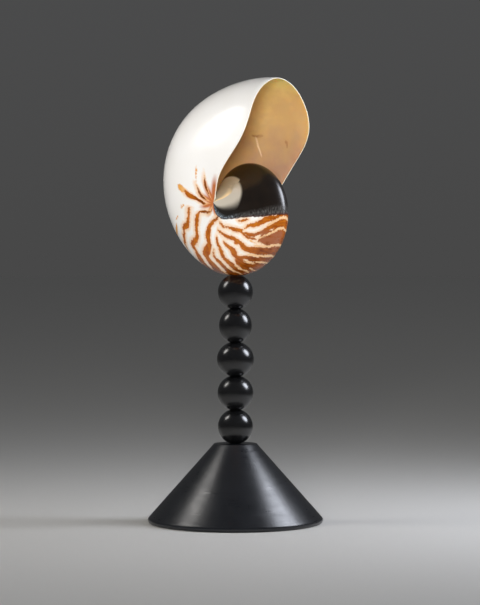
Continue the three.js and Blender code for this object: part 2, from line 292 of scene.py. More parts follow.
# Shell colours
# The young shell is banded: each band is a line of (row, turn, half width) in degrees that follows
# the growth lines from the umbilicus towards the venter, where the bands run together.
BANDS = (
    # The flames that fan out of the umbilicus.
    ((53, -83, 3), (50, -81, 2.5), (46, -79.5, 2), (43, -77.5, 1)),
    ((95, -83.5, 2), (92, -82.5, 2), (85, -80.5, 1.8), (80, -78.5, 1.3), (74, -76.5, 0.6)),
    # The bands of the flank, from the oldest part of the mouth's whorl back to the film.
    ((122, -83.5, 1.2), (112, -81, 2), (106, -78.5, 3), (105, -74.5, 5), (106, -72, 4.5),
     (103.5, -69.5, 2.6)),
    ((128, -68.6, 0.6), (133.8, -66.6, 1), (140, -64.7, 1), (145, -62, 1.3), (148.8, -59.4, 2),
     (151.5, -56.2, 3), (149.4, -53.8, 3.3), (148.4, -50.6, 2.2), (151.5, -46.9, 1.3),
     (150.6, -42.5, 1.8), (151.5, -38, 1.6), (150, -33.8, 1.2), (153, -27, 0.7)),
    ((182, -84, 1), (170, -82, 1), (158.8, -80.3, 1.2), (150, -79.2, 1.5), (143, -77.2, 2), (141, -76, 1.6),
     (144.4, -73, 1.4), (150, -70.6, 2), (155.6, -68, 2), (161.9, -64.4, 2.2), (166.9, -60.6, 1.8),
     (171.5, -56, 2.5), (168.8, -50.6, 3), (166, -47.5, 2.6), (163.8, -43, 2.6), (168, -39, 2.2),
     (168.8, -36.3, 3), (169.4, -31.9, 4.4), (169.4, -26.9, 4.2), (171, -20.6, 4.5), (173, -15.6, 5)),
    ((224, -78.5, 0.5), (210, -77.2, 1), (200, -76.3, 1.5), (193.6, -74.4, 2.2), (187.4, -71.9, 3),
     (184.9, -69.7, 3.6), (187.4, -66.3, 5), (188.6, -62.5, 4.4), (190.5, -58.1, 3), (192.4, -54.4, 2.7),
     (188.3, -50, 3.8), (184.3, -45.6, 3.8), (181, -41.3, 3.2), (182.4, -36.9, 3.4), (183.6, -31.9, 4),
     (184.3, -26.9, 4.5), (184.3, -21.9, 5), (183, -16.9, 5)),
    ((197.4, -50.6, 0.3), (194.3, -46.3, 0.8), (193, -41.9, 1.5), (194.9, -36.9, 2.5), (195.5, -31.9, 2.2),
     (195.8, -26.9, 2.5), (196, -21.9, 2.9), (195.5, -15.6, 4)),
    ((205.5, -61.3, 1.6), (205.5, -57.5, 2), (207.4, -52.5, 2), (206, -47.5, 2.3), (204.3, -42.5, 2.2),
     (204.9, -37.5, 2.5), (205.5, -31.9, 3), (204.9, -26.9, 2.8), (204.3, -21.9, 2.4), (205, -15, 2.4)),
    ((216.9, -56, 1.6), (218.6, -53, 2.2), (221.4, -48.1, 3), (222.6, -46.3, 2.5), (219.9, -43.8, 3),
     (218, -40, 2.5), (218, -35.6, 3), (215.5, -30.6, 4.5), (214.9, -25.6, 5), (215.5, -15, 5.5)),
    ((219, -37, 2), (225, -30.6, 2.3), (225.5, -25.6, 3.4), (226.8, -20.6, 3.2), (228, -15.6, 3.2)),
    ((208.6, -68.4, 0.6), (212.4, -66.9, 1), (217.4, -64.4, 1.3), (223.6, -61.3, 1.8), (228.6, -58.4, 1.6),
     (233, -56.3, 2.2), (234.9, -53, 3), (231.8, -50, 1.8)),
    ((234.9, -53, 2), (236, -50.6, 2.4), (235.2, -45.6, 2.7), (233, -40.6, 3), (234.3, -35.6, 3.8),
     (236, -30, 4.2), (237.4, -23.8, 5), (238.6, -17.5, 6)),
    ((216, -73.4, 0.8), (218.5, -72.6, 1.3), (221.8, -71.3, 1.5), (226.8, -68.8, 0.8), (232.4, -67.2, 0.7),
     (237.4, -65.6, 1.2), (241, -63, 2), (246.8, -59.4, 2.5), (251, -56.3, 2), (249.3, -53, 1.4),
     (247.7, -48.1, 1.3), (247.5, -44, 1.3), (249, -38, 0.9)),
    ((250.5, -52.5, 1), (252, -49.4, 1.6), (251.8, -45.6, 2.5), (253.6, -41.3, 2.2), (256.8, -36.9, 2),
     (261, -31.9, 2.2), (264.3, -26.9, 3), (266.8, -20.6, 3.2), (268.6, -14.4, 3), (269.3, -8, 3.5),
     (269.3, 0, 3.5), (268.6, 12, 3)),
    ((251.8, -55.2, 0.6), (258, -53.8, 0.5), (263.6, -51.9, 1.8), (266, -47.5, 3), (268, -43.1, 3.4),
     (270.5, -39.4, 3.2), (273.6, -34.4, 4), (274.9, -28, 3.5), (275.5, -20.6, 2.2), (276.5, -14, 1)),
    ((261, -63, 0.8), (265.5, -60, 1), (268.6, -58, 1.5), (272.4, -56, 1.2)),
)
# Fainter, tan marks: the ends of flames, two freckles and a band that hardly coloured.
TAN_MARKS = (
    ((103.5, -69.5, 2.6), (102.5, -67, 3.2), (103, -64.5, 4.6)),
    ((74, -76.5, 0.5), (66, -73.5, 0.8), (60, -71, 1.4), (57, -70, 0.8)),
    ((124.5, -63.4, 0.8), (126.9, -61.6, 1.2), (128.6, -60.2, 0.8)),
    ((135, -51.5, 0.6), (135, -49, 1), (135, -46.5, 0.6)),
    ((137.8, -43, 1.2), (138.4, -38, 1.8), (137.8, -33.4, 1.8), (136.9, -25, 1.4)),
    ((246.5, -46, 0.9), (244.5, -40, 0.8), (244, -34, 0.7)),
)
# Thin cream lines are left between the bands where they run together over the venter.
CREAM_LINES = (
    ((188.6, -25, 0.8), (190, -17, 1.2), (190, -10, 0.6)),
    ((200.5, -27, 0.8), (201, -20.6, 1), (202.4, -14.4, 0.9), (202, -6, 0.5)),
    ((208, -28, 0.9), (208.3, -20.6, 1.1), (209.9, -14.4, 1), (208.6, -6, 0.7)),
    ((218.6, -29.4, 0.6), (220.5, -23, 1.1), (222.4, -16.3, 0.9)),
    ((215, -15.6, 0.5), (214, -5, 0.7), (213.6, 7.5, 0.6)),
    ((224.9, -16.9, 0.9), (226.4, -8, 1.2), (226, 0, 1.1), (224.9, 12, 0.9)),
    ((228, -31.9, 1.2), (231, -25.6, 1.2), (233, -16.9, 1.3), (234.6, -8, 1.4), (234.9, 0, 1.3),
     (232.6, 14, 1)),
    ((241, -33, 1.3), (243, -23.8, 1.3), (244.9, -15.6, 1.4), (246.8, -6.9, 1.4), (247, 0, 1.4),
     (246, 13.8, 1.3), (244.3, 22, 1)),
    ((252, -33, 1), (258, -23.8, 1.3), (261.8, -15.6, 1.4), (264.3, -6.9, 1.5), (264.3, 0, 1.4),
     (262, 12, 1.2)),
    ((267, -29, 1.2), (270.5, -21.9, 1.4), (273.6, -14.4, 1.4), (274.9, -6.3, 1.6), (274.9, 4.4, 1.5),
     (273.6, 17, 1.3)),
)
# Brown runs over the venter from this row back, and this far to each side of the middle.
VENTER_BROWN_START = 168
VENTER_BROWN_REACH = 19
VENTER_BROWN_SOFTNESS = 0.5
# A pinkish brown cloud, where the bands run together beside the film: rows and turns it spans, and how
# far its first row slants with the turn.
CLOUD_ROWS = (247, 262)
CLOUD_TURNS = (-34, -8)
CLOUD_SLANT = 0.15
CLOUD_SOFTNESS = 0.7
# The black film starts here: rows by turn, from the venter to the umbilicus.
FILM_TURNS = (0, 52, 56, 62, 66.6, 70.3, 72.5, 74.4, 77.8, 80, 82.5, 90)
FILM_ROWS = (277.7, 277.7, 276, 270, 260, 250, 240, 230, 220, 212, 208.6, 200)

# A milky worn patch on the film beside the umbilicus: the turn it reaches to, row by row, and the
# row where it starts, turn by turn.
WORN_ROWS = (279, 289.5, 300.5, 313.5, 325.5, 337.5, 349, 360, 373.5, 388, 403, 418)
WORN_TURNS = (-69, -66.5, -65, -62.5, -60, -57.7, -55.5, -53.7, -51.7, -49.5, -46.5, -42)
WORN_START_TURNS = (-90, -85.5, -82, -78.5, -75.5, -72, -69, -66)
WORN_START_ROWS = (230, 235.5, 248, 258, 267, 275, 282, 290)
# Where its bare, lower part ends: the row of that edge, turn by turn, along which a painted reflection of the
# lip runs.
BARE_TURNS = (-90, -86, -79.5, -74.5, -69.5, -65.5, -60, -55, -50)
BARE_ROWS = (320, 320, 318.5, 327, 336, 350, 356, 344, 330)
# Old marks inside the chamber: two dark scars and a pale streak.
DARK_SCARS = (
    ((51, 49.5, 0.3), (48, 51.5, 0.4), (43, 52.5, 0.2)),
    ((20.5, 59.5, 0.3), (18.5, 60.5, 0.4), (17.5, 62.5, 0.2)),
)
PALE_SCARS = (((49.5, 52, 0.3), (52, 57, 0.6), (52, 63, 0.3)),)


def inside_strokes(rows, turns, strokes):
    """How far, in degrees, each spot lies inside the nearest stroke; negative outside them all."""
    best = np.full(rows.shape, -90.0)
    for stroke in strokes:
        for (row_a, turn_a, half_a), (row_b, turn_b, half_b) in zip(stroke, stroke[1:]):
            step_row, step_turn = row_b - row_a, turn_b - turn_a
            length = step_row ** 2 + step_turn ** 2
            part = np.clip(((rows - row_a) * step_row + (turns - turn_a) * step_turn) / length, 0, 1)
            off = np.hypot(rows - row_a - part * step_row, turns - turn_a - part * step_turn)
            best = np.maximum(best, half_a + (half_b - half_a) * part - off)
    return best


def banding(rows, turns):
    """The bands of one flank and the venter's brown, less the cream lines."""
    bands = inside_strokes(rows, turns, BANDS)
    brown = np.minimum(rows - VENTER_BROWN_START, VENTER_BROWN_REACH - np.abs(turns))
    cloud_start = CLOUD_ROWS[0] - CLOUD_SLANT * (turns - CLOUD_TURNS[0])
    in_cloud_rows = np.minimum(rows - cloud_start, CLOUD_ROWS[1] - rows)
    cloud = np.minimum(in_cloud_rows, np.minimum(turns - CLOUD_TURNS[0], CLOUD_TURNS[1] - turns))
    covered = np.maximum(bands, brown * VENTER_BROWN_SOFTNESS)
    covered = np.maximum(covered, cloud * CLOUD_SOFTNESS)
    return np.minimum(covered, -inside_strokes(rows, turns, CREAM_LINES))


shell_data = bpy.data.meshes.new("shell_body")
shell_mesh.to_mesh(shell_data)
shell_mesh.free()
count = len(shell_data.vertices)
rows = np.zeros(count, np.float32)
turns = np.zeros(count, np.float32)
shell_data.attributes["row"].data.foreach_get("value", rows)
shell_data.attributes["turn"].data.foreach_get("value", turns)
rows = np.degrees(rows.astype(float))
turns = np.degrees(turns.astype(float))
# The far flank's bands are the near flank's, mirrored about the line that the view reaches over the
# venter, and shifted a little along the coil, as the two flanks of a real shell are.
UMBILICUS_TURN = 90
MIRROR_TURN = 12
FAR_SHIFT = 3
FAR_SWAY = 4
FAR_SHIFT_FADE = 20
beyond = np.clip(turns - MIRROR_TURN, 0, None)
far_turns = MIRROR_TURN - beyond * (UMBILICUS_TURN + MIRROR_TURN) / (UMBILICUS_TURN - MIRROR_TURN)
far_sway = FAR_SHIFT + FAR_SWAY * np.sin(np.radians(4 * turns))
far_rows = rows + np.clip(beyond / FAR_SHIFT_FADE, 0, 1) * far_sway
on_near = turns < MIRROR_TURN
bands = np.where(on_near, banding(rows, turns), banding(far_rows, far_turns))
tan, cream = (
    np.where(on_near, inside_strokes(rows, turns, marks), inside_strokes(far_rows, far_turns, marks))
    for marks in (TAN_MARKS, CREAM_LINES))
dark_scar = inside_strokes(rows, turns, DARK_SCARS)
pale_scar = inside_strokes(rows, turns, PALE_SCARS)

# From here on the two flanks are alike, but for the pink cloud, and a turn counts from the venter
# either way. A degree of row is shorter the nearer it is to the umbilicus, so it counts for less in how
# deep a spot lies inside the film.
off_venter = np.abs(turns)
venter = 1 - off_venter / UMBILICUS_TURN
SHORTENING_TURNS = (60, 85)
SHORTENING = (1, 0.4)
row_length = np.interp(off_venter, SHORTENING_TURNS, SHORTENING)
film = (rows - np.interp(off_venter, FILM_TURNS, FILM_ROWS)) * row_length

# Bands are darker over the venter, out to this turn and from this row back, though less so near the
# film, and darker again close to the umbilicus. Over the venter this is partly the bands' own deeper
# brown and partly painted shade, as these rows are the shell's underside.
VENTER_DARK_TURN = 36
VENTER_DARK_ROW = 160
VENTER_DARK_FADE = 12
LESS_DARK_ROW = 268
LESS_DARK_FADE = 30
LEAST_DARK = 0.3
UMBILICUS_DARK_TURN = 74
UMBILICUS_DARK_FADE = 4
venter_deep_and_shaded = np.clip((VENTER_DARK_TURN - off_venter) / VENTER_DARK_FADE, 0, 1)
venter_deep_and_shaded *= np.clip((rows - VENTER_DARK_ROW) / VENTER_DARK_FADE, 0, 1)
venter_deep_and_shaded *= np.clip((LESS_DARK_ROW - rows) / LESS_DARK_FADE, LEAST_DARK, 1)
umbilicus_dark = np.clip((off_venter - UMBILICUS_DARK_TURN) / UMBILICUS_DARK_FADE, 0, 1)
dark = np.maximum(venter_deep_and_shaded, umbilicus_dark)

# The umbilicus is stained a pinkish brown, with a wavy edge, and not on the lip itself.
STAIN_TURN = 79
STAIN_FADE = 5
STAIN_WAVE = 2.5
STAIN_WAVES = 9
STAIN_LIP_ROW = -4
STAIN_LIP_FADE = 8
stain_wave = STAIN_WAVE * np.sin(np.radians(rows * STAIN_WAVES))
stain = np.clip((off_venter - STAIN_TURN + stain_wave) / STAIN_FADE, 0, 1)
stain *= np.clip((rows - STAIN_LIP_ROW) / STAIN_LIP_FADE, 0, 1)

# The cloud's pink shows on the near flank: it comes on over these rows, goes off again, and is
# strongest about this turn.
PINK_ROWS = (238, 246, 260, 264)
PINK_TURN = -20
PINK_REACH = 34
PINK_FADE = 18
pink = np.interp(rows, PINK_ROWS, (0, 1, 1, 0))
pink *= np.clip((PINK_REACH - np.abs(turns - PINK_TURN)) / PINK_FADE, 0, 1)

# The worn patch is bounded on both sides of its corner, softly where it starts and where its bare
# part ends.
WORN_START_SOFTNESS = 0.11
BARE_SOFTNESS_TURNS = (-72, -62)
BARE_SOFTNESS = (1, 0.1)
worn_start = np.interp(-off_venter, WORN_START_TURNS, WORN_START_ROWS)
worn_reach = np.interp(rows, WORN_ROWS, WORN_TURNS) + off_venter
worn = np.minimum(worn_reach, (rows - worn_start) * WORN_START_SOFTNESS)
bare = np.interp(-off_venter, BARE_TURNS, BARE_ROWS) - rows
bare *= np.interp(-off_venter, BARE_SOFTNESS_TURNS, BARE_SOFTNESS)
for name, values in (("bands", bands), ("tan", tan), ("film", film), ("dark", dark), ("stain", stain),
                     ("pink", pink), ("worn", worn), ("bare", bare), ("venter", venter),
                     ("dark_scar", dark_scar), ("pale_scar", pale_scar), ("cream", cream)):
    layer = shell_data.attributes.new(name, "FLOAT", "POINT")
    layer.data.foreach_set("value", values.astype(np.float32))


def linear(hex_colour):
    """An sRGB hex colour as the linear red, green, blue and alpha that a shader takes."""
    parts = [int(hex_colour[i:i + 2], 16) / 255 for i in (1, 3, 5)]
    return tuple(c / 12.92 if c <= 0.04045 else ((c + 0.055) / 1.055) ** 2.4 for c in parts) + (1,)


def new_material(name):
    """A material with an empty node tree."""
    material = bpy.data.materials.new(name)
    material.use_nodes = True
    material.node_tree.nodes.clear()
    return material


def add_node(material, kind, output, inputs, **settings):
    """Adds a shader node with its settings and its inputs' values or links, and gives the output named."""
    node = material.node_tree.nodes.new("ShaderNode" + kind)
    for name, value in settings.items():
        setattr(node, name, value)
    for name, value in inputs.items():
        socket = next(s for s in node.inputs if s.enabled and name in (s.name, s.identifier))
        if isinstance(value, bpy.types.NodeSocket):
            material.node_tree.links.new(value, socket)
        else:
            socket.default_value = value
    return next((s for s in node.outputs if s.enabled and s.name == output), None)


MM = 0.001
# What the growth map's two sides stand for: a turn of the coil at the middle of the flank, and the way
# from umbilicus to umbilicus over the venter.
GROWN_LENGTH = 374 * MM
GROWN_WIDTH = 161 * MM

# Polished shell: aragonite, cleaned and buffed after its outer crust came off. It is white with a
# little cream in it and smooth as porcelain, with rust-brown colour bands of ragged edges.
porcelain = new_material("polished_aragonite")
spot = add_node(porcelain, "TexCoord", "Object", {})
growth = add_node(porcelain, "UVMap", "UV", {}, uv_map="growth")
bands, tan, film, dark, stain, pink, worn, bare, cream, venter = (
    add_node(porcelain, "Attribute", "Fac", {}, attribute_name=name)
    for name in ("bands", "tan", "film", "dark", "stain", "pink", "worn", "bare", "cream", "venter"))

broad = add_node(porcelain, "TexNoise", "Fac", {"Vector": spot, "Scale": 1 / (25 * MM), "Detail": 3})
mottle = add_node(porcelain, "TexNoise", "Fac",
                  {"Vector": spot, "Scale": 1 / (4 * MM), "Detail": 5, "Roughness": 0.65})
mottle = add_node(porcelain, "MapRange", "Result", {"Value": mottle, "From Min": 0.35, "From Max": 0.7})
white = add_node(porcelain, "Mix", "Result",
                 {"Factor": broad, "A": linear("#F2F0ED"), "B": linear("#EDE9E3")}, data_type="RGBA")

# Pigment creeps along the growth lines, so a band's edge is ragged over a millimetre or so.
teeth = add_node(porcelain, "TexNoise", "Fac",
                 {"Vector": spot, "Scale": 1 / (1.6 * MM), "Detail": 4, "Roughness": 0.65})
teeth = add_node(porcelain, "MapRange", "Result",
                 {"Value": teeth, "From Min": 0.3, "From Max": 0.7, "To Min": -1.0, "To Max": 1.0})
tan = add_node(porcelain, "Math", "Value", {"Value": tan, "Value_001": teeth}, operation="ADD")
tan = add_node(porcelain, "MapRange", "Result", {"Value": tan, "From Min": -0.8, "From Max": 1.0},
               interpolation_type="SMOOTHSTEP")
skin = add_node(porcelain, "Mix", "Result", {"Factor": tan, "A": white, "B": linear("#E09E48")},
                data_type="RGBA")
skin = add_node(porcelain, "Mix", "Result", {"Factor": stain, "A": skin, "B": linear("#BC6C3C")},
                data_type="RGBA")
# The skin between the bands is cream where they crowd together, and tinged along each band's edge.
cream = add_node(porcelain, "MapRange", "Result", {"Value": cream, "From Min": -1.2, "From Max": 0.4})
skin = add_node(porcelain, "Mix", "Result", {"Factor": cream, "A": skin, "B": linear("#E6C39B")},
                data_type="RGBA")
bands = add_node(porcelain, "Math", "Value", {"Value": bands, "Value_001": teeth}, operation="ADD")
halo = add_node(porcelain, "MapRange", "Result",
                {"Value": bands, "From Min": -4.5, "From Max": 0.2, "To Max": 0.85})
skin = add_node(porcelain, "Mix", "Result", {"Factor": halo, "A": skin, "B": linear("#EDBE88")},
                data_type="RGBA")
# The pigment is cloudy, and streaked along the growth lines.
streaked = add_node(porcelain, "Mapping", "Vector", {
    "Vector": growth, "Scale": (GROWN_LENGTH / (2.2 * MM), GROWN_WIDTH / (23 * MM), 1)})
streak = add_node(porcelain, "TexNoise", "Fac", {"Vector": streaked, "Scale": 1, "Detail": 3})
streak = add_node(porcelain, "MapRange", "Result", {"Value": streak, "From Min": 0.3, "From Max": 0.7})
tone = add_node(porcelain, "Mix", "Result", {"Factor": 0.5, "A": mottle, "B": streak})
orange = add_node(porcelain, "Mix", "Result",
                  {"Factor": tone, "A": linear("#8C3B04"), "B": linear("#CC7618")}, data_type="RGBA")
# This deeper brown also carries the painted shade of the shell's underside over the venter.
brown = add_node(porcelain, "Mix", "Result",
                 {"Factor": tone, "A": linear("#5C2204"), "B": linear("#AA5A14")}, data_type="RGBA")
pigment = add_node(porcelain, "Mix", "Result", {"Factor": dark, "A": orange, "B": brown}, data_type="RGBA")
rose = add_node(porcelain, "Math", "Value", {"Value": pink, "Value_001": tone}, operation="MULTIPLY")
rose = add_node(porcelain, "MapRange", "Result", {"Value": rose, "From Min": 0.12, "From Max": 0.5})
pigment = add_node(porcelain, "Mix", "Result", {"Factor": rose, "A": pigment, "B": linear("#9C5A36")},
                   data_type="RGBA")
bands = add_node(porcelain, "MapRange", "Result", {"Value": bands, "From Min": -0.6, "From Max": 0.5},
                 interpolation_type="SMOOTHSTEP")
skin = add_node(porcelain, "Mix", "Result", {"Factor": bands, "A": skin, "B": pigment}, data_type="RGBA")

# Film: the thin black coat of conchiolin, like lacquer, on the part that the animal covered. It is
# brownish in itself, scratched and greyer towards its edge, and wrinkled blue by the umbilicus.
soot = add_node(porcelain, "TexNoise", "Fac",
                {"Vector": spot, "Scale": 1 / (9 * MM), "Detail": 5, "Roughness": 0.6})
coat = add_node(porcelain, "Mix", "Result", {"Factor": soot, "A": linear("#090807"), "B": linear("#221A14")},
                data_type="RGBA")
wrinkled = add_node(porcelain, "Mapping", "Vector", {
    "Vector": growth, "Scale": (GROWN_LENGTH / (5.34 * MM), GROWN_WIDTH / (0.7 * MM), 1)})
wrinkle = add_node(porcelain, "TexNoise", "Fac",
                   {"Vector": wrinkled, "Scale": 1, "Detail": 3, "Roughness": 0.6})
crack = add_node(porcelain, "MapRange", "Result", {"Value": wrinkle, "From Min": 0.48, "From Max": 0.66})
by_edge = add_node(porcelain, "MapRange", "Result", {"Value": film, "From Min": 13, "From Max": 2})
by_hub = add_node(porcelain, "MapRange", "Result", {"Value": venter, "From Min": 0.3, "From Max": 0.14})
crack_tint = add_node(porcelain, "Mix", "Result",
                      {"Factor": by_hub, "A": linear("#8A8784"), "B": linear("#CFE4F2")}, data_type="RGBA")
ground = add_node(porcelain, "Mix", "Result",
                  {"Factor": by_hub, "A": linear("#2B2927"), "B": linear("#222C36")}, data_type="RGBA")
grey = add_node(porcelain, "Mix", "Result", {"Factor": crack, "A": ground, "B": crack_tint},
                data_type="RGBA")
by_edge = add_node(porcelain, "Math", "Value", {"Value": by_edge, "Value_001": 0.85}, operation="MULTIPLY")
coat = add_node(porcelain, "Mix", "Result", {"Factor": by_edge, "A": coat, "B": grey}, data_type="RGBA")
thin = add_node(porcelain, "MapRange", "Result", {"Value": film, "From Min": 3.0, "From Max": 0.4})
coat = add_node(porcelain, "Mix", "Result", {"Factor": thin, "A": coat, "B": linear("#431A0E")},
                data_type="RGBA")

# Worn patch: beside the umbilicus the film is rubbed to a milky grey, its lower part quite bare. Between
# the two runs a cream line that is a painted reflection of the lip, bright as a painted highlight.
milk = add_node(porcelain, "Mix", "Result", {"Factor": broad, "A": linear("#8F7F64"), "B": linear("#AFA48F")},
                data_type="RGBA")
# Painted reflection of the lip: a cream line on the milky side of the bare edge, strongest by the umbilicus.
lip_reflection_line = add_node(porcelain, "MapRange", "Result", {"Value": bare, "From Min": -22, "From Max": -0.5},
               interpolation_type="SMOOTHSTEP")
lip_reflection_reach = add_node(porcelain, "MapRange", "Result",
                 {"Value": by_hub, "From Min": 0.2, "From Max": 0.7, "To Max": 0.85})
lip_reflection_line = add_node(porcelain, "Math", "Value", {"Value": lip_reflection_line, "Value_001": lip_reflection_reach}, operation="MULTIPLY")
milk = add_node(porcelain, "Mix", "Result", {"Factor": lip_reflection_line, "A": milk, "B": linear("#F5D3A0")},
                data_type="RGBA")
is_bare = add_node(porcelain, "MapRange", "Result", {"Value": bare, "From Min": -1.5, "From Max": 2.5},
                   interpolation_type="SMOOTHSTEP")
milk = add_node(porcelain, "Mix", "Result", {"Factor": is_bare, "A": milk, "B": linear("#BDB3A3")},
                data_type="RGBA")
worn = add_node(porcelain, "MapRange", "Result", {"Value": worn, "From Min": -0.8, "From Max": 3.2},
                interpolation_type="SMOOTHSTEP")
worn = add_node(porcelain, "Math", "Value", {"Value": worn, "Value_001": 1.5}, operation="POWER")
coat = add_node(porcelain, "Mix", "Result", {"Factor": worn, "A": coat, "B": milk}, data_type="RGBA")

film = add_node(porcelain, "Math", "Value", {"Value": film, "Value_001": teeth}, operation="ADD")
film = add_node(porcelain, "MapRange", "Result", {"Value": film, "From Min": -0.4, "From Max": 0.6},
                interpolation_type="SMOOTHSTEP")
skin = add_node(porcelain, "Mix", "Result", {"Factor": film, "A": skin, "B": coat}, data_type="RGBA")
gloss = add_node(porcelain, "Mix", "Result", {"Factor": film, "A": 0.2, "B": 0.27})

# Faint growth lines cross the polished part, and the film carries its own fine wrinkles.
ringed = add_node(porcelain, "Mapping", "Vector", {
    "Vector": growth, "Scale": (GROWN_LENGTH / (1.56 * MM), GROWN_WIDTH / (54 * MM), 1)})
ring = add_node(porcelain, "TexNoise", "Fac", {"Vector": ringed, "Scale": 1, "Detail": 2})
relief = add_node(porcelain, "Mix", "Result", {"Factor": film, "A": ring, "B": wrinkle})
bumped = add_node(porcelain, "Bump", "Normal", {"Height": relief, "Strength": 0.12, "Distance": 0.15 * MM})
shader = add_node(porcelain, "BsdfPrincipled", "BSDF",
                  {"Base Color": skin, "Roughness": gloss, "IOR": 1.53, "Normal": bumped})
add_node(porcelain, "OutputMaterial", None, {"Surface": shader})

# Chamber lining: bare mother-of-pearl, honey-coloured towards the venter and pinkish towards the
# umbilicus, partly its own colours and partly painted light and shade: the venter side is painted
# lighter and the umbilicus side darker. It is smooth but less polished than the outside, with two dark
# scars and a pale streak. The wall is thin enough to glow with the light that falls on its outside.
lining = new_material("nacre_lining")
spot = add_node(lining, "TexCoord", "Object", {})
venter, dark_scar, pale_scar = (
    add_node(lining, "Attribute", "Fac", {}, attribute_name=name)
    for name in ("venter", "dark_scar", "pale_scar"))
cloud = add_node(lining, "TexNoise", "Fac", {"Vector": spot, "Scale": 1 / (18 * MM), "Detail": 3})
drift = add_node(lining, "MapRange", "Result", {"Value": cloud, "To Min": -0.25, "To Max": 0.25})
venter = add_node(lining, "Math", "Value", {"Value": venter, "Value_001": drift}, operation="ADD")
# Painted light and shade: the lining lighter towards the venter and darker towards the umbilicus.
honey_and_lit = add_node(lining, "MapRange", "Result", {"Value": venter, "From Min": 0.55, "From Max": 0.95})
rosy_and_shaded = add_node(lining, "MapRange", "Result", {"Value": venter, "From Min": 0.5, "From Max": 0.15})
pearl = add_node(lining, "Mix", "Result", {"Factor": honey_and_lit, "A": linear("#D5B47B"), "B": linear("#FFE28C")},
                 data_type="RGBA")
pearl = add_node(lining, "Mix", "Result", {"Factor": rosy_and_shaded, "A": pearl, "B": linear("#BA967A")},
                 data_type="RGBA")
scar = add_node(lining, "MapRange", "Result", {"Value": dark_scar, "From Min": -0.9, "From Max": 0.4})
pearl = add_node(lining, "Mix", "Result", {"Factor": scar, "A": pearl, "B": linear("#A9764A")},
                 data_type="RGBA")
scar = add_node(lining, "MapRange", "Result", {"Value": pale_scar, "From Min": -0.9, "From Max": 0.6})
pearl = add_node(lining, "Mix", "Result", {"Factor": scar, "A": pearl, "B": linear("#FBE6C4")},
                 data_type="RGBA")
shader = add_node(lining, "BsdfPrincipled", "BSDF", {
    "Base Color": pearl, "Roughness": 0.34, "IOR": 1.53, "Subsurface Weight": 0.6,
    "Subsurface Radius": (0.8, 0.5, 0.24), "Subsurface Scale": 4 * MM})
add_node(lining, "OutputMaterial", None, {"Surface": shader})

# The lip is the same shell, cut clean and rubbed to a cream edge.
lip = new_material("rubbed_lip")
spot = add_node(lip, "TexCoord", "Object", {})
cloud = add_node(lip, "TexNoise", "Fac", {"Vector": spot, "Scale": 1 / (8 * MM), "Detail": 3})
cream = add_node(lip, "Mix", "Result", {"Factor": cloud, "A": linear("#FFF4E0"), "B": linear("#F8E6C6")},
                 data_type="RGBA")
shader = add_node(lip, "BsdfPrincipled", "BSDF", {
    "Base Color": cream, "Roughness": 0.3, "IOR": 1.53, "Subsurface Weight": 0.5,
    "Subsurface Radius": (1.0, 0.85, 0.6), "Subsurface Scale": 2 * MM})
add_node(lip, "OutputMaterial", None, {"Surface": shader})

shell = bpy.data.objects.new("shell_body", shell_data)
bpy.context.scene.collection.objects.link(shell)
for material in (porcelain, lining, lip):
    shell_data.materials.append(material)
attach(shell, "root")
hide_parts("nautilus_shell")

# Stem balls
# Five balls turned in hardwood and lacquered black, threaded on the rod with a small flat where they
# meet, each a little different from the next. The top one has a shallow dish that the shell sits in.
BALL_COUNT = 5
BALL_PITCH = 0.0281
BALL_HALF_HEIGHT = 0.0147
BALL_GAP = 0.0003
BALL_ARC_STEPS = 48
BALL_SIDES = 96
TURNED_CREASE_ANGLE = math.radians(40)


def turned(name, profile, sides, material):
    """Spins a profile of (radius, height) points about the stand's axis into one closed piece."""
    bm = bmesh.new()
    points = [bm.verts.new((radius, 0, height)) for radius, height in profile]
    edges = [bm.edges.new(pair) for pair in zip(points, points[1:])]
    bmesh.ops.spin(bm, geom=points + edges, cent=(0, 0, 0), axis=(0, 0, 1), angle=2 * math.pi,
                   steps=sides, use_merge=True)
    bmesh.ops.remove_doubles(bm, verts=bm.verts, dist=WELD_DISTANCE)
    bmesh.ops.recalc_face_normals(bm, faces=bm.faces)
    for face in bm.faces:
        face.smooth = True
    for edge in bm.edges:
        edge.smooth = not edge.is_manifold or edge.calc_face_angle(0) < TURNED_CREASE_ANGLE
    data = bpy.data.meshes.new(name)
    bm.to_mesh(data)
    bm.free()
    piece = bpy.data.objects.new(name, data)
    bpy.context.scene.collection.objects.link(piece)
    data.materials.append(material)
    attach(piece, "root")
    return piece


# Black lacquer over turned wood: nearly a mirror, softened by handling, with a trace of the wood's
# grain in it and a few specks of dust.
ball_lacquer = new_material("lacquered_hardwood")
spot = add_node(ball_lacquer, "TexCoord", "Object", {})
cloud = add_node(ball_lacquer, "TexNoise", "Fac", {"Vector": spot, "Scale": 1 / (9 * MM), "Detail": 4})
black = add_node(ball_lacquer, "Mix", "Result",
                 {"Factor": cloud, "A": linear("#070708"), "B": linear("#0F0F10")}, data_type="RGBA")
speck = add_node(ball_lacquer, "TexVoronoi", "Distance", {"Vector": spot, "Scale": 1 / (7 * MM)})
dust = add_node(ball_lacquer, "MapRange", "Result", {"Value": speck, "From Min": 0.035, "From Max": 0.02})
black = add_node(ball_lacquer, "Mix", "Result", {"Factor": dust, "A": black, "B": linear("#6A6A68")},
                 data_type="RGBA")
shine = add_node(ball_lacquer, "MapRange", "Result", {"Value": cloud, "To Min": 0.18, "To Max": 0.27})
grain = add_node(ball_lacquer, "Mapping", "Vector", {"Vector": spot, "Scale": (1, 1, 0.15)})
grain = add_node(ball_lacquer, "TexNoise", "Fac", {"Vector": grain, "Scale": 1 / (0.8 * MM), "Detail": 3})
bumped = add_node(ball_lacquer, "Bump", "Normal", {"Height": grain, "Strength": 0.1, "Distance": 0.04 * MM})
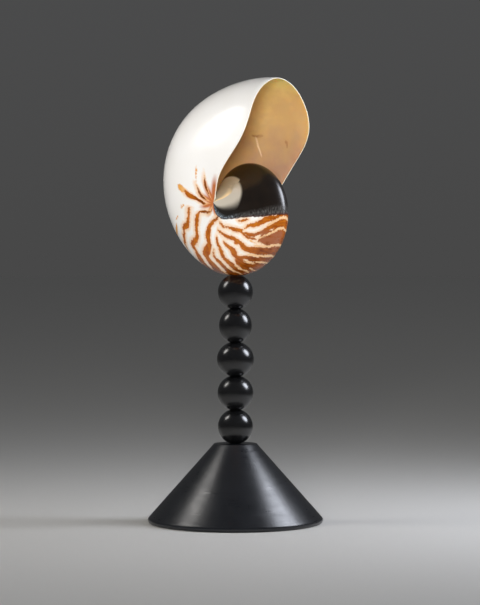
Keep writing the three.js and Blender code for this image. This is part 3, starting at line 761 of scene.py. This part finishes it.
shader = add_node(ball_lacquer, "BsdfPrincipled", "BSDF",
                  {"Base Color": black, "Roughness": shine, "IOR": 1.65, "Normal": bumped})
add_node(ball_lacquer, "OutputMaterial", None, {"Surface": shader})

# The dish follows the shell's underside, on curves of these radii along and across its coil.
SEAT_CURVE_ALONG = 0.078
SEAT_CURVE_ACROSS = 0.040
SEAT_GAP = 0.0003
seat = min((shell_point(math.radians(degree), 0) for degree in range(360)), key=lambda point: point.z)

for number in range(1, BALL_COUNT + 1):
    node = f"stem_ball_{number}"
    low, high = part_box(node)
    bottom = low.z - BALL_GAP / 2
    middle = bottom + BALL_PITCH / 2
    half_width = (high.x - low.x) / 2
    last_angle = math.pi / 2 if number == BALL_COUNT else math.asin(BALL_PITCH / 2 / BALL_HALF_HEIGHT)
    first_angle = -math.asin(BALL_PITCH / 2 / BALL_HALF_HEIGHT)
    profile = [(0, bottom)]
    for i in range(BALL_ARC_STEPS + 1):
        angle = first_angle + (last_angle - first_angle) * i / BALL_ARC_STEPS
        profile.append((half_width * math.cos(angle), middle + BALL_HALF_HEIGHT * math.sin(angle)))
    profile.append((0, profile[-1][1]))
    ball = turned(f"lacquered_ball_{number}", profile, BALL_SIDES, ball_lacquer)
    if number == BALL_COUNT:
        for vertex in ball.data.vertices:
            x, y = vertex.co.x - seat.x, vertex.co.y
            dish = seat.z - SEAT_GAP + x * x / (2 * SEAT_CURVE_ALONG) + y * y / (2 * SEAT_CURVE_ACROSS)
            vertex.co.z = min(vertex.co.z, dish)
    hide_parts(node)

# Base cone
# A cone spun from sheet metal round a former, with its foot rolled to a small rounded rim, sprayed
# satin black.
CONE_SIDES = 160
FOOT_RIM_RADIUS = 0.0026
FOOT_RIM_STEPS = 12
TOP_EDGE_BEVEL = 0.0006
cone_low, cone_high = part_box("base_cone")
cone_radius = (cone_high.x - cone_low.x) / 2
CONE_TOP_RADIUS = 0.0184

# Satin black spray on metal: bluish black with a fine orange-peel texture.
cone_paint = new_material("satin_sprayed_metal")
spot = add_node(cone_paint, "TexCoord", "Object", {})
cloud = add_node(cone_paint, "TexNoise", "Fac", {"Vector": spot, "Scale": 1 / (14 * MM), "Detail": 4})
black = add_node(cone_paint, "Mix", "Result",
                 {"Factor": cloud, "A": linear("#0E0F12"), "B": linear("#16181C")}, data_type="RGBA")
# The spinning left very fine rings round the cone, and the spray a slight orange peel over them.
ringed = add_node(cone_paint, "Mapping", "Vector", {"Vector": spot, "Scale": (0.04, 0.04, 1)})
rings = add_node(cone_paint, "TexNoise", "Fac",
                 {"Vector": ringed, "Scale": 1 / (2.2 * MM), "Detail": 5, "Roughness": 0.7})
shine = add_node(cone_paint, "Mix", "Result", {"Factor": 0.6, "A": cloud, "B": rings})
shine = add_node(cone_paint, "MapRange", "Result",
                 {"Value": shine, "From Min": 0.3, "From Max": 0.7, "To Min": 0.24, "To Max": 0.40})
peel = add_node(cone_paint, "TexNoise", "Fac", {"Vector": spot, "Scale": 1 / (1.2 * MM), "Detail": 2})
relief = add_node(cone_paint, "Mix", "Result", {"Factor": 0.3, "A": rings, "B": peel})
bumped = add_node(cone_paint, "Bump", "Normal", {"Height": relief, "Strength": 0.5, "Distance": 0.2 * MM})
shader = add_node(cone_paint, "BsdfPrincipled", "BSDF",
                  {"Base Color": black, "Roughness": shine, "IOR": 1.6, "Normal": bumped})
add_node(cone_paint, "OutputMaterial", None, {"Surface": shader})

slope = math.atan2(cone_high.z, cone_radius - CONE_TOP_RADIUS)
profile = [(0, 0)]
for i in range(FOOT_RIM_STEPS + 1):
    angle = -math.pi / 2 + (math.pi - slope) * i / FOOT_RIM_STEPS
    profile.append((cone_radius - FOOT_RIM_RADIUS + FOOT_RIM_RADIUS * math.cos(angle),
                    FOOT_RIM_RADIUS + FOOT_RIM_RADIUS * math.sin(angle)))
profile.append((CONE_TOP_RADIUS, cone_high.z - TOP_EDGE_BEVEL))
profile.append((CONE_TOP_RADIUS - TOP_EDGE_BEVEL, cone_high.z))
profile.append((0, cone_high.z))
cone = turned("spun_cone", profile, CONE_SIDES, cone_paint)
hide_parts("base_cone")

# Rod
# A plain drawn steel rod, hidden inside the balls, that holds them on the cone.
rod_steel = new_material("drawn_steel")
spot = add_node(rod_steel, "TexCoord", "Object", {})
along = add_node(rod_steel, "Mapping", "Vector", {"Vector": spot, "Scale": (1, 1, 0.02)})
streaks = add_node(rod_steel, "TexNoise", "Fac", {"Vector": along, "Scale": 1 / (0.4 * MM), "Detail": 2})
steel = add_node(rod_steel, "Mix", "Result",
                 {"Factor": streaks, "A": linear("#7F8285"), "B": linear("#A3A6A9")}, data_type="RGBA")
shader = add_node(rod_steel, "BsdfPrincipled", "BSDF",
                  {"Base Color": steel, "Metallic": 1, "Roughness": 0.35})
add_node(rod_steel, "OutputMaterial", None, {"Surface": shader})
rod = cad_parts["stem_rod"]
rod.data.materials.clear()
rod.data.materials.append(rod_steel)

# Floor and light
# A wide pale floor in a dim grey studio, a small softbox on the left and a larger one on the right,
# both close and above the stem. Behind the camera is a broad soft fill, and low on the left a weak one,
# both gridded to stay off the floor.
floor_paint = new_material("pale_floor")
shader = add_node(floor_paint, "BsdfPrincipled", "BSDF", {"Base Color": linear("#D9D7D2"), "Roughness": 0.7})
add_node(floor_paint, "OutputMaterial", None, {"Surface": shader})
FLOOR_RADIUS = 12
FLOOR_SIDES = 64
bm = bmesh.new()
bmesh.ops.create_circle(bm, cap_ends=True, segments=FLOOR_SIDES, radius=FLOOR_RADIUS)
floor_data = bpy.data.meshes.new("floor")
bm.to_mesh(floor_data)
bm.free()
floor = bpy.data.objects.new("floor", floor_data)
bpy.context.scene.collection.objects.link(floor)
floor_data.materials.append(floor_paint)

# The surround is a dim, even grey, so that black parts keep dark reflections.
world = bpy.data.worlds.new("studio")
bpy.context.scene.world = world
world.use_nodes = True
world.node_tree.nodes.clear()
direction = add_node(world, "TexCoord", "Generated", {})
upwards = add_node(world, "SeparateXYZ", "Z", {"Vector": direction})
overhead = add_node(world, "MapRange", "Result", {"Value": upwards, "From Max": 0.5})
grey = add_node(world, "Mix", "Result",
                {"Factor": overhead, "A": linear("#484848"), "B": linear("#545557")}, data_type="RGBA")
surround = add_node(world, "Background", "Background", {"Color": grey})
add_node(world, "OutputWorld", None, {"Surface": surround})
bpy.context.scene.view_settings.view_transform = "Standard"

# Each lamp: its place right of the stem, nearer to the camera and above the floor, its width and
# height, the angle its grid lets through, its watts and colour, and whether it shows in reflections.
LIGHT_AIM = Vector((0, 0, 0.24))
for name, right, near, height, width, tall, spread, watts, colour, in_reflections in (
    ("softbox_left", -0.39, 0.01, 0.5, 0.13, 0.24, 180, 0.65, "#FFFCF8", True),
    ("softbox_right", 0.45, 0.0, 0.45, 0.25, 0.32, 180, 2.7, "#EEF3FF", True),
    ("fill", -0.2, 4.0, 0.6, 1.0, 1.0, 50, 11.0, "#FFFFFF", False),
    ("low_fill", -1.6, 1.2, 0.2, 0.3, 0.2, 50, 0.45, "#FFFFFF", False),
):
    lamp = bpy.data.lights.new(name, "AREA")
    lamp.shape = "ELLIPSE"
    lamp.size = width
    lamp.size_y = tall
    lamp.spread = math.radians(spread)
    lamp.energy = watts
    lamp.color = linear(colour)[:3]
    box = bpy.data.objects.new(name, lamp)
    bpy.context.scene.collection.objects.link(box)
    box.location = rightwards * right + towards_camera * near + Vector((0, 0, height))
    box.rotation_euler = (LIGHT_AIM - box.location).to_track_quat("-Z", "Y").to_euler()
    box.visible_camera = False
    box.visible_glossy = in_reflections
